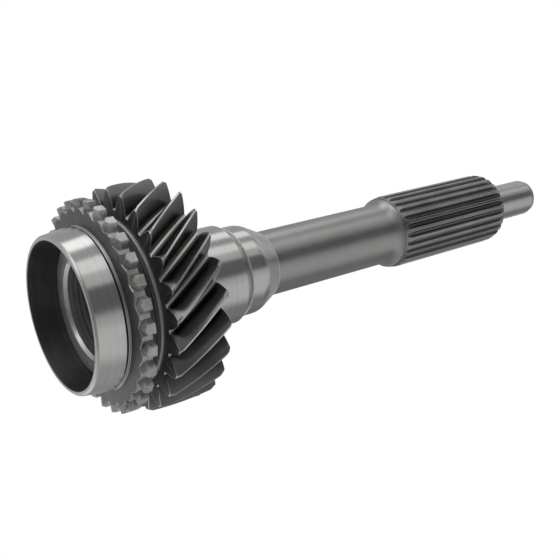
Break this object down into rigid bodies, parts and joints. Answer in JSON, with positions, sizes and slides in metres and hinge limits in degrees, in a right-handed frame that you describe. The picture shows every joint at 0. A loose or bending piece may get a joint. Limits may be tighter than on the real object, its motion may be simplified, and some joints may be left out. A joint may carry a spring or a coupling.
{
  "type": "transmission input shaft",
  "caption": "Transmission input shaft with a splined clutch end, pilot nose, bearing journals, left-hand helical gear and a pressed-on dog-tooth ring with a friction cone.",
  "frame": {"origin": "centre of the friction cone's rim face, on which the shaft stands", "axes": "+Z along the shaft's axis from the friction cone to the pilot nose, +X through the middle of a dog tooth"},
  "size_m": [0.0748, 0.0748, 0.2231],
  "materials": {
    "hardened_steel": "satin, ground on the journals",
    "ground_steel": "ground cone, blasted dog teeth"
  },
  "bodies": {
    "root": {"input_shaft": "hardened_steel", "clutch_ring": "ground_steel"}
  },
  "joints": []
}
